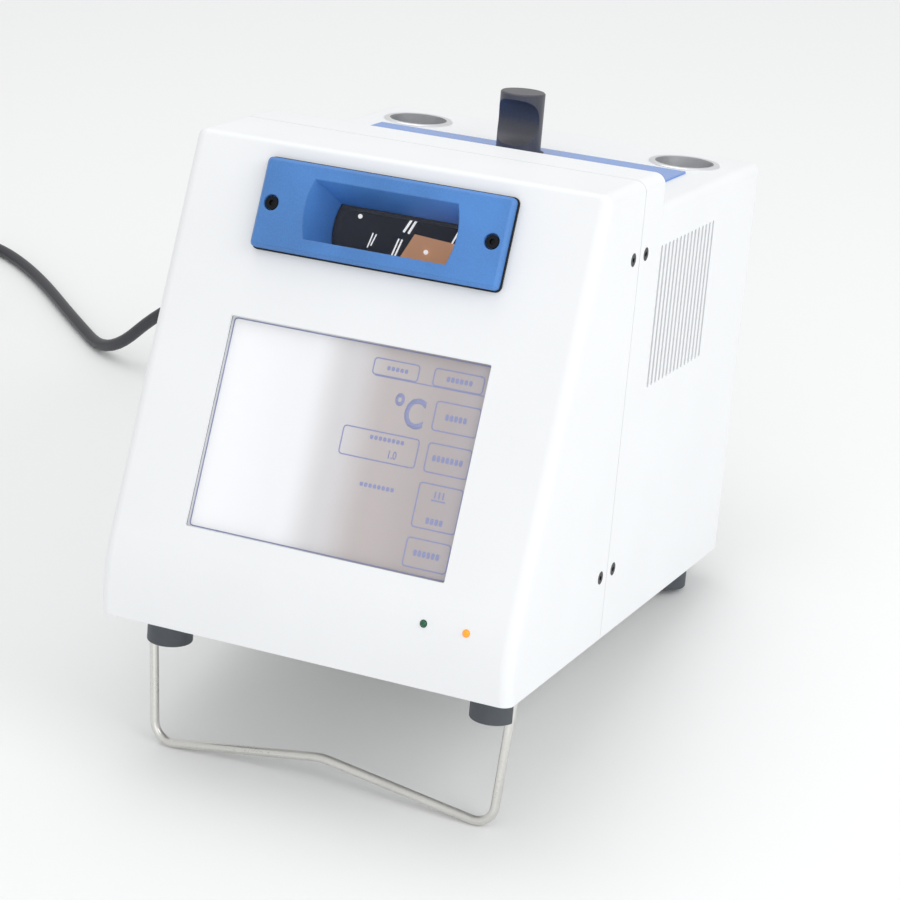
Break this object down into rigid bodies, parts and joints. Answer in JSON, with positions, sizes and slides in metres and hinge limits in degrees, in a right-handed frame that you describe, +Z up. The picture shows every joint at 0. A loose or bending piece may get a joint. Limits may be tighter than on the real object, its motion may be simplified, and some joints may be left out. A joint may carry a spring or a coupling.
{
  "type": "melting point apparatus",
  "caption": "Bench melting point apparatus with touch screen, magnifier window, heated capillary oven under a lift-out plug, tube cups, wire bail stand and mains lead.",
  "frame": {"origin": "bottom centre of the instrument's box as it stands on its open bail and rear feet, without the power lead", "axes": "+X to the right seen from the front, +Y to the back, +Z up; the case is tilted back about X"},
  "size_m": [0.6473, 0.4464, 0.2555],
  "materials": {
    "case_white": "fine texture, satin",
    "bezel_blue": "fine moulded grain",
    "plate_blue": "satin",
    "black_plastic": "satin",
    "black_rubber": "matt",
    "grey_foot": "matt",
    "stainless": "bright",
    "bright_metal": "polished",
    "zinc_steel": "satin",
    "black_screw": "blackened",
    "sheet_aluminium": "satin",
    "clear_glass": "clear",
    "screen_glass": "glossy",
    "board_green": "solder mask",
    "oven_brass": "machined",
    "insulation": "copper coloured",
    "lamp_green": "diffused",
    "lamp_amber": "diffused"
  },
  "bodies": {
    "case": {"bezel_gasket": "black_rubber", "bezel_screws": "black_screw", "board_standoffs": "zinc_steel", "camera_board": "board_green", "camera_lens": "black_plastic", "chassis_base": "sheet_aluminium", "cord_coil": "black_rubber", "cord_connector": "black_rubber", "cord_tie": "black_plastic", "cover_screws": "black_screw", "display_board": "board_green", "display_bracket": "sheet_aluminium", "display_screws": "zinc_steel", "fan_frame": "black_plastic", "fan_screws": "zinc_steel", "foot_screws": "zinc_steel", "front_cover": "case_white", "front_feet": "grey_foot", "lamp_board": "board_green", "lcd_module": "black_plastic", "lens_cap": "black_plastic", "magnifier_bezel": "bezel_blue", "magnifier_lens": "clear_glass", "main_board": "board_green", "mains_plug": "black_rubber", "optics_frame": "sheet_aluminium", "oven_block": "oven_brass", "oven_heaters": "zinc_steel", "oven_lamp_board": "board_green", "oven_sleeve": "insulation", "power_cord": "black_rubber", "power_inlet": "black_plastic", "power_lamp": "lamp_amber", "power_supply": "sheet_aluminium", "ready_lamp": "lamp_green", "rear_cover": "case_white", "rear_feet": "grey_foot", "rear_panel": "sheet_aluminium", "rear_screws": "zinc_steel", "sample_guide": "black_plastic", "serial_socket": "zinc_steel", "side_bracket_left": "sheet_aluminium", "side_bracket_right": "sheet_aluminium", "temperature_sensor": "zinc_steel", "top_plate": "plate_blue", "touch_glass": "screen_glass", "tube_cup_left": "bright_metal", "tube_cup_right": "bright_metal", "usb_socket": "zinc_steel", "view_hood": "black_plastic"},
    "bail": {"bail": "stainless"},
    "oven_plug": {"oven_plug": "black_plastic"},
    "power_rocker": {"power_rocker": "black_plastic"},
    "fuse_drawer": {"fuse_drawer": "black_plastic", "fuses": "clear_glass"},
    "fan_rotor": {"fan_rotor": "black_plastic"}
  },
  "joints": [
    {"name": "bail_fold", "type": "hinge", "parent": "case", "child": "bail", "pos_m": [0, -0.11901, 0.05963], "axis": [1, 0, 0], "range_deg": [0, 90]},
    {"name": "plug_lift", "type": "slide", "parent": "case", "child": "oven_plug", "axis": [0, 0.2194, 0.9756], "range_m": [0, 0.03]},
    {"name": "rocker_rock", "type": "hinge", "parent": "case", "child": "power_rocker", "pos_m": [-0.052, 0.12696, 0.12835], "axis": [1, 0, 0], "range_deg": [0, 12]},
    {"name": "fuse_drawer_slide", "type": "slide", "parent": "case", "child": "fuse_drawer", "axis": [0, 0.9756, -0.2194], "range_m": [0, 0.018]},
    {"name": "fan_spin", "type": "hinge", "parent": "case", "child": "fan_rotor", "pos_m": [0.044, 0.12108, 0.13274], "axis": [0, 0.9756, -0.2194], "continuous": true}
  ]
}
